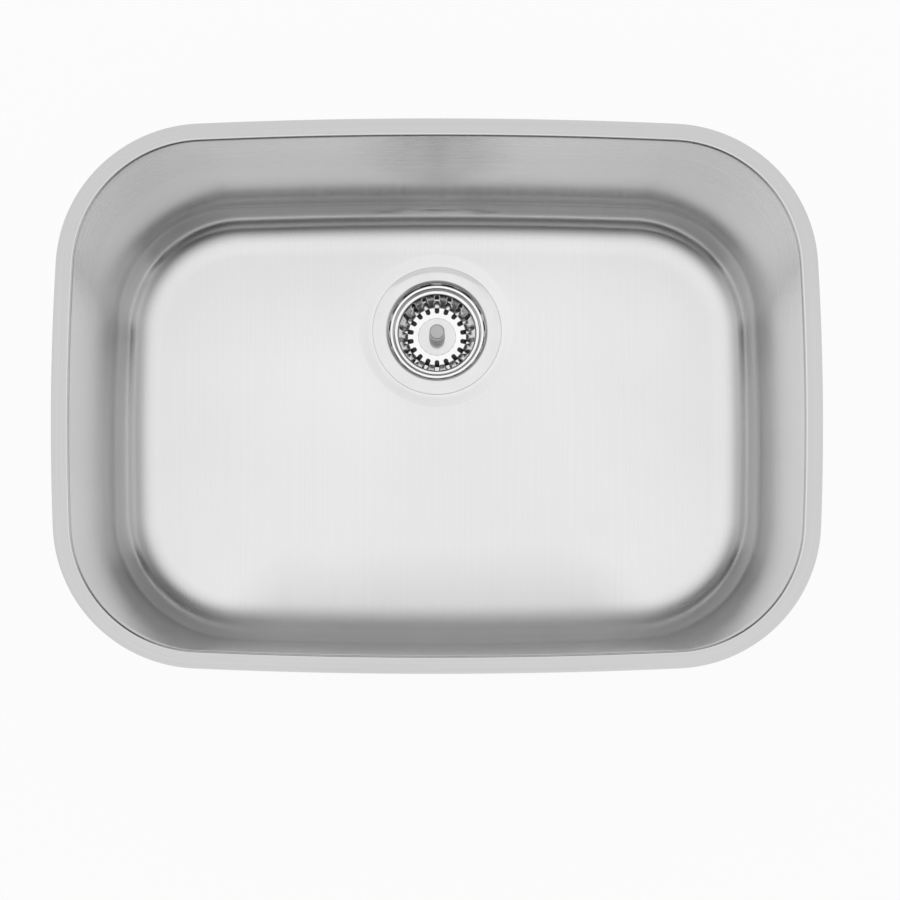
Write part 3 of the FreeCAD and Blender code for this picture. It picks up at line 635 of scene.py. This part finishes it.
def makeBowl():
    rings, wallRings = bowlRings()
    count = len(rings[0])
    bm = bmesh.new()
    floorShare = bm.verts.layers.float.new("floorShare")
    rimShare = bm.verts.layers.float.new("rimShare")
    paintedRecessLight = bm.verts.layers.float.new("paintedRecessLight")
    travelled = bm.verts.layers.float.new("travelled")

    # the first ring is a circle moved onto the rim, and each next one is extruded from it
    loop = list(bmesh.ops.create_circle(bm, cap_ends=False, segments=count, radius=1)["verts"])
    lengthways = 0.0
    for vert, (x, y, z) in zip(loop, rings[0]):
        vert.co = Vector((x, y, z)) * mm
        vert[rimShare] = 1.0
    edges = [bm.edges.get((loop[i], loop[(i + 1) % count])) for i in range(count)]
    for index, ring in enumerate(rings[1:], start=1):
        made = bmesh.ops.extrude_edge_only(bm, edges=edges)["geom"]
        newVerts = {v for v in made if isinstance(v, bmesh.types.BMVert)}
        nextLoop = []
        for vert in loop:
            beside = [edge.other_vert(vert) for edge in vert.link_edges]
            nextLoop.append([other for other in beside if other in newVerts][0])
        lengthways += (Vector(ring[0]) - Vector(rings[index - 1][0])).length * mm
        for vert, (x, y, z) in zip(nextLoop, ring):
            vert.co = Vector((x, y, z)) * mm
            vert[travelled] = lengthways
            floorRows = index - wallRings + bowl["grainLead"]
            vert[floorShare] = min(1.0, max(0.0, floorRows / bowl["grainRows"]))
            vert[rimShare] = 1.0 if index < bowl["flangeRings"] else 0.0
            # painted light over the drain's recess, stronger towards its front
            if index > wallRings + bowl["floorSteps"]:
                forward = (drainY / mm - y) / hypot(x, y - drainY / mm)
                vert[paintedRecessLight] = bowl["paintedRecessLightBase"] + bowl["paintedRecessLightFront"] * forward
        loop = nextLoop
        edges = [bm.edges.get((loop[i], loop[(i + 1) % count])) for i in range(count)]

    faceUp(bm)
    piece = newPiece("bowlShell", bm, brushedBowl, "sink", ["bowl"])
    sheet = piece.modifiers.new("sheet", "SOLIDIFY")
    sheet.thickness = bowl["steel"] * mm
    sheet.offset = -1
    sheet.shell_vertex_group = piece.vertex_groups.new(name="outside").name
    sheet.use_even_offset = True
    rounded = piece.modifiers.new("edges", "BEVEL")
    rounded.width = bowl["edge"] * mm
    rounded.segments = bowl["edgeSteps"]
    rounded.limit_method = "ANGLE"
    rounded.angle_limit = bowl["edgeAngle"]
    rounded.harden_normals = True


makeBowl()
print("bowl made")


# strainer cup

cup = {
    "segments": 192,
    "threadCore": 42,
    "threadCrest": 43,
    "pitch": 2.4,
    "threadSpan": (-22.4, -2.5),
    "profile": [
        (55.5, 1.2, 0.4, 3),
        (50, 2.2, 2.2, 4),
        (41.5, 2.2, 3.4, 8),
        (40.5, -24, 1.6, 4),
        (34, -39, 1.6, 4),
        (20.5, -39, 0.3, 2),
        (20.5, -40, 0, 0),
        (34.5, -40, 0.4, 2),
        (42.3, -24, 0.4, 2),
        (42.3, 1.2, 1.9, 4),
        (50, 1.2, 0, 0),
        (55.5, 0.2, 0, 0),
    ],
}
cupMesh = turnPiece(cup["profile"], cup["segments"])
addThread(cupMesh, cup["threadCore"], cup["threadCrest"], cup["pitch"], *cup["threadSpan"])
newPiece("strainerCup", cupMesh, polishedSteel, "sink", ["strainer_cup"])
print("strainer cup made")


# basket

basket = {
    "slots": 18,
    "slotWidth": 3.6,
    "slotInner": 20.8,
    "slotOuter": 32.8,
    "barSteps": 5,
    "slotReach": 0.08,  # half of a slot's column, as a share of the pitch
    "narrowest": 0.8,  # share of the slots' inner radius where the columns stop closing in
    "sheet": 0.8,
    "smoothing": 2,
    # radius and height of the wet side, from the rim's edge to the stem's hole
    "profile": [
        (40.45, -5.9),
        (39.9, -5.8),
        (38.5, -5.8),
        (37.85, -6.15),
        (37.4, -7.6),
        (36.9, -9.6),
        (36.3, -10.35),
        (35.0, -10.4),
        (34.0, -10.55),
        (33.3, -11.3),
        (32.8, -12.5),
        (31.4, -16.9),
        (30.0, -21.3),
        (28.6, -25.7),
        (27.3, -29.8),
        (26.5, -32.2),
        (25.8, -33.35),
        (24.8, -33.85),
        (22.8, -33.9),
        (20.8, -33.9),
        (19.0, -33.9),
        (12.0, -33.9),
        (3.1, -33.9),
    ],
}


def makeBasket():
    bm = bmesh.new()
    spots = [bm.verts.new((0, drainY + r * mm, seatZ + z * mm)) for r, z in basket["profile"]]
    for first, second in zip(spots, spots[1:]):
        bm.edges.new((first, second))
    columns = basket["slots"] * (basket["barSteps"] + 1)
    bmesh.ops.spin(
        bm,
        geom=bm.verts[:] + bm.edges[:],
        cent=(0, drainY, 0),
        axis=(0, 0, 1),
        angle=2 * pi,
        steps=columns,
        use_merge=True,
    )
    bmesh.ops.remove_doubles(bm, verts=bm.verts, dist=1e-6)
    pitch = 2 * pi / basket["slots"]
    perSlot = basket["barSteps"] + 1
    # the two columns beside each slot stand its width apart, and the bar's columns share the rest
    for vert in bm.verts:
        x, y = vert.co.x, vert.co.y - drainY
        radius = hypot(x, y)
        turn = (atan2(y, x) - pi / 2) % (2 * pi)
        sector, place = divmod(round(turn / pitch * perSlot), perSlot)
        held = max(radius, basket["slotInner"] * mm * basket["narrowest"])
        half = asin(basket["slotWidth"] * mm / 2 / held)
        angle = pi / 2 + sector * pitch + half + (pitch - 2 * half) * place / basket["barSteps"]
        vert.co.x = radius * cos(angle)
        vert.co.y = drainY + radius * sin(angle)
    cut = []
    for face in bm.faces:
        centre = face.calc_center_median()
        radius = hypot(centre.x, centre.y - drainY)
        turn = (atan2(centre.y - drainY, centre.x) - pi / 2) / pitch
        inSlot = abs(turn - round(turn)) < basket["slotReach"]
        if inSlot and basket["slotInner"] * mm < radius < basket["slotOuter"] * mm:
            cut.append(face)
    bmesh.ops.delete(bm, geom=cut, context="FACES")
    faceUp(bm)
    piece = newPiece("basketShell", bm, basketSteel, "basket_unit", ["basket"])
    sheet = piece.modifiers.new("sheet", "SOLIDIFY")
    sheet.thickness = basket["sheet"] * mm
    sheet.offset = -1
    smooth = piece.modifiers.new("smooth", "SUBSURF")
    smooth.levels = basket["smoothing"]
    smooth.render_levels = basket["smoothing"]


makeBasket()
print("basket made")


# knob, plate and stopper

knob = {
    "plate": [(3.1, -33.9, 0, 0), (16.4, -33.9, 0.2, 1), (16.4, -32.9, 0.45, 3), (3.1, -32.9, 0, 0)],
    "post": [
        (0, -53.5, 0, 0),
        (3, -53.5, 0.4, 2),
        (3, -32.9, 0, 0),
        (6.9, -32.9, 0.3, 2),
        (6.4, -3.9, 0.9, 5),
        (0, -3.9, 0, 0),
    ],
    "stopper": [
        (3.1, -38.7, 0, 0),
        (25.8, -38.7, 0.5, 3),
        (25.8, -37.3, 0.4, 3),
        (24, -34.7, 0.4, 3),
        (3.1, -34.7, 0, 0),
    ],
    "postSegments": 96,
    # painted shade on the knob's foot: its colour, and the heights over which it fades out
    "footShadeColour": (0.02, 0.02, 0.02),
    "footShadeSpan": (-0.221, -0.2075),
}


# painted shade: the knob's side is painted near-black towards its foot, where shade and a dark
# reflection gather
def paintFootShade(material):
    nodeTree = material.node_tree
    _, parts = objectPlace(nodeTree)
    share = mapped(nodeTree, parts["Z"], 1, 0, knob["footShadeSpan"])
    recoloured(nodeTree, nodeTree.nodes["Principled BSDF"], share, knob["footShadeColour"], "MIX")


paintFootShade(satinSteel)
plateMesh = turnPiece(knob["plate"])
newPiece("knobPlate", plateMesh, polishedSteel, "basket_unit", ["knob_plate"])
postMesh = turnPiece(knob["post"], knob["postSegments"])
newPiece("knobPost", postMesh, satinSteel, "basket_unit", ["knob_post"])
stopperMesh = turnPiece(knob["stopper"])
newPiece("stopperRubber", stopperMesh, sealRubber, "basket_unit", ["stopper"])
print("knob and stopper made")


# outlet below the cup

outlet = {
    "tube": [
        (20.5, -40, 0, 0),
        (27, -40, 0, 0),
        (27, -42, 0.5, 2),
        (22.7, -42, 0, 0),
        (22.7, -66, 0.4, 2),
        (19.5, -66, 0.3, 2),
        (19.5, -54, 0, 0),
        (20.5, -54, 0, 0),
    ],
    "hub": [(5.2, -54, 0.4, 2), (8.5, -54, 0.4, 2), (8.5, -50, 0.4, 2), (5.2, -50, 0.4, 2)],
    "threadCore": 22.5,
    "threadCrest": 23.4,
    "pitch": 2.2,
    "threadSpan": (-65, -43.5),
    "spokes": 4,
    "spokeFrom": 7.5,
    "spokeTo": 21.4,
    "spokeWidth": 2.4,
    "spokeTop": -50,
    "spokeFoot": -54,
    "spokeRounding": 0.35,
    "spokeSteps": 2,
    "hubSegments": 72,
}


def makeOutlet():
    bm = turnPiece(outlet["tube"])
    turnPiece(outlet["hub"], outlet["hubSegments"], bm)
    addThread(bm, outlet["threadCore"], outlet["threadCrest"], outlet["pitch"], *outlet["threadSpan"])
    length = outlet["spokeTo"] - outlet["spokeFrom"]
    height = outlet["spokeTop"] - outlet["spokeFoot"]
    middle = (outlet["spokeFrom"] + length / 2, 0, (outlet["spokeTop"] + outlet["spokeFoot"]) / 2)
    for i in range(outlet["spokes"]):
        spoke = bmesh.ops.create_cube(bm, size=mm)["verts"]
        bmesh.ops.scale(bm, vec=(length, outlet["spokeWidth"], height), verts=spoke)
        bmesh.ops.translate(bm, vec=Vector(middle) * mm, verts=spoke)
        turned = Matrix.Rotation(2 * pi * i / outlet["spokes"], 3, "Z")
        bmesh.ops.rotate(bm, cent=(0, 0, 0), matrix=turned, verts=spoke)
        bmesh.ops.translate(bm, vec=(0, drainY, seatZ), verts=spoke)
        edges = {edge for vert in spoke for edge in vert.link_edges}
        roundEdges(bm, list(edges), outlet["spokeRounding"], outlet["spokeSteps"])
    newPiece("outletSpigot", bm, platedBrass, "sink", ["outlet_spigot"])


makeOutlet()
print("outlet made")


# nuts

lockNut = {
    "profile": [(43.1, -16.2, 0, 0), (50, -16.2, 0, 0), (50, -5.2, 0, 0), (43.1, -5.2, 0, 0)],
    "segments": 156,
    "lugs": 6,
    "halfFaces": 3,
    "outside": 50,
    "reach": 55,
    "rounding": 0.6,
}
couplingNut = {
    "profile": [
        (23.5, -54, 0, 0),
        (23.5, -70, 0, 0),
        (19.8, -70, 0, 0),
        (19.8, -73, 0, 0),
        (28, -73, 0, 0),
        (28, -54, 0, 0),
    ],
    "segments": 200,
    "lugs": 8,
    "halfFaces": 4,
    "outside": 28,
    "reach": 31,
    "rounding": 0.45,
}


def makeNut(nut):
    bm = turnPiece(nut["profile"], nut["segments"])
    addLugs(bm, nut)
    return bm


newPiece("lockNut", makeNut(lockNut), castZinc, "sink", ["lock_nut"])
newPiece("couplingNut", makeNut(couplingNut), platedBrass, "sink", ["coupling_nut"])
print("nuts made")


# washers, gasket and grip: inner radius, outer radius, foot, top, rounding

washers = {
    "flangeGasket": {
        "sizes": (45.5, 50, 0, 1.2, 0.2),
        "finish": sealRubber,
        "body": "sink",
        "slot": "seal_rubber",
        "node": "flange_gasket",
    },
    "rubberWasher": {
        "sizes": (43.4, 56, -4.2, -1.2, 0.5),
        "finish": sealRubber,
        "body": "sink",
        "slot": "seal_rubber",
        "node": "rubber_washer",
    },
    "frictionRing": {
        "sizes": (43.4, 55, -5.2, -4.2, 0.12),
        "finish": fibreBoard,
        "body": "sink",
        "slot": "fibre",
        "node": "friction_ring",
    },
    "slipWasher": {
        "sizes": (19.7, 23.4, -70, -66, 0.5),
        "finish": whitePolythene,
        "body": "sink",
        "slot": "slip_plastic",
        "node": "slip_washer",
    },
    "backingWasher": {
        "sizes": (3.1, 9, -39.9, -38.7, 0.2),
        "finish": plainSteel,
        "body": "basket_unit",
        "slot": "plain_steel",
        "node": "backing_washer",
    },
    "stemGrip": {
        "sizes": (3, 5, -53.5, -46, 0.6),
        "finish": sealRubber,
        "body": "basket_unit",
        "slot": "seal_rubber",
        "node": "stem_grip",
    },
}
washerSegments = 120
washerSteps = 3
for pieceName, washer in washers.items():
    inner, outer, foot, top, rounding = washer["sizes"]
    profile = [
        (inner, foot, 0, 0),
        (outer, foot, rounding, washerSteps),
        (outer, top, rounding, washerSteps),
        (inner, top, 0, 0),
    ]
    washerMesh = turnPiece(profile, washerSegments)
    newPiece(pieceName, washerMesh, washer["finish"], washer["body"], [washer["node"]])
print("washers made")


# finishes of the nodes that stay as they are

nodeFinish = {
    "floor_pad": padRubber,
    "front_pad": padRubber,
    "rear_pad": padRubber,
    "left_pad": padRubber,
    "right_pad": padRubber,
    "stem_nut": plainSteel,
}
for nodeName, finish in nodeFinish.items():
    for slot in nodes[nodeName].material_slots:
        slot.material = finish
print("node finishes set")


# floor, light and camera

stage = {
    "floorSize": 14.0,
    "floorZ": -0.2752,
    "floorColour": (0.86, 0.86, 0.86, 1),
    "floorRough": 0.9,
    "floorGlow": 0.94,
}


def makeFloor():
    bm = bmesh.new()
    bmesh.ops.create_grid(bm, x_segments=1, y_segments=1, size=stage["floorSize"] / 2)
    bmesh.ops.translate(bm, verts=bm.verts, vec=(0, 0, stage["floorZ"]))
    mesh = bpy.data.meshes.new("studioFloor")
    bm.to_mesh(mesh)
    bm.free()
    floor = bpy.data.objects.new("studioFloor", mesh)
    scene.collection.objects.link(floor)
    material, nodeTree, shader = newMaterial("studioPaper")
    shader.inputs["Base Color"].default_value = stage["floorColour"]
    shader.inputs["Roughness"].default_value = stage["floorRough"]
    # white to the camera and in reflections, and plain paper to all other light
    path = addNode(nodeTree, "ShaderNodeLightPath").outputs
    seen = computed(nodeTree, "MAXIMUM", path["Is Camera Ray"], path["Is Glossy Ray"])
    share = computed(nodeTree, "MULTIPLY", seen, stage["floorGlow"])
    glow = addNode(nodeTree, "ShaderNodeEmission")
    mix = addNode(nodeTree, "ShaderNodeMixShader")
    feed(nodeTree, mix.inputs, (share, shader.outputs[0], glow.outputs[0]))
    nodeTree.links.new(mix.outputs[0], nodeTree.nodes["Material Output"].inputs["Surface"])
    mesh.materials.append(material)


# bright overhead, dim lower down, lifted at both sides and low down behind the sink
sky = {
    "low": 0.02,
    "high": 1.04,
    "from": 0.4,
    "to": 0.97,
    "axis": (-0.05, 0.03, 0.998),
    "sides": 0.75,
    "back": 0.75,
    "backSpan": (0.9, 0.97),
}


def makeSky():
    world = bpy.data.worlds.new("studioSky")
    scene.world = world
    world.use_nodes = True
    nodeTree = world.node_tree
    background = nodeTree.nodes["Background"]
    background.inputs["Color"].default_value = (1, 1, 1, 1)
    coords = addNode(nodeTree, "ShaderNodeTexCoord")
    height = addNode(nodeTree, "ShaderNodeVectorMath", operation="DOT_PRODUCT")
    height.inputs[1].default_value = sky["axis"]
    nodeTree.links.new(coords.outputs["Generated"], height.inputs[0])
    level = addNode(nodeTree, "ShaderNodeMapRange", interpolation_type="SMOOTHSTEP")
    level.inputs["From Min"].default_value = sky["from"]
    level.inputs["From Max"].default_value = sky["to"]
    level.inputs["To Min"].default_value = sky["low"]
    level.inputs["To Max"].default_value = sky["high"]
    nodeTree.links.new(height.outputs["Value"], level.inputs["Value"])
    parts = addNode(nodeTree, "ShaderNodeSeparateXYZ")
    nodeTree.links.new(coords.outputs["Generated"], parts.inputs[0])
    across = computed(nodeTree, "MULTIPLY", parts.outputs["X"], parts.outputs["X"])
    sideways = computed(nodeTree, "MULTIPLY", across, across)
    lifted = addNode(nodeTree, "ShaderNodeMath", operation="MULTIPLY_ADD")
    feed(nodeTree, lifted.inputs, (sideways, sky["sides"], level.outputs["Result"]))
    behind = mapped(nodeTree, parts.outputs["Y"], 0, sky["back"], sky["backSpan"])
    strength = computed(nodeTree, "ADD", lifted.outputs["Value"], behind)
    seen = addNode(nodeTree, "ShaderNodeLightPath").outputs["Is Camera Ray"]
    nodeTree.links.new(mixedValue(nodeTree, seen, strength, 1.0), background.inputs["Strength"])


view = {
    "distance": 3.48,
    "tilt": radians(8),
    "aim": (10.5 * mm, -45.9 * mm, 0),
    "lens": 171.9,
    "sensor": 36,
    "farthest": 50,
}


def makeCamera():
    data = bpy.data.cameras.new("photoCamera")
    data.lens = view["lens"]
    data.sensor_width = view["sensor"]
    data.clip_end = view["farthest"]
    camera = bpy.data.objects.new("photoCamera", data)
    scene.collection.objects.link(camera)
    spot = Vector((0, -view["distance"] * sin(view["tilt"]), view["distance"] * cos(view["tilt"])))
    camera.location = spot
    camera.rotation_mode = "QUATERNION"
    back = (spot - Vector(view["aim"])).normalized()
    right = Vector((1, 0, 0))
    up = back.cross(right).normalized()
    right = up.cross(back)
    camera.rotation_quaternion = Matrix((right, up, back)).transposed().to_quaternion()
    scene.camera = camera


makeFloor()
makeSky()
makeCamera()
print("stage set")
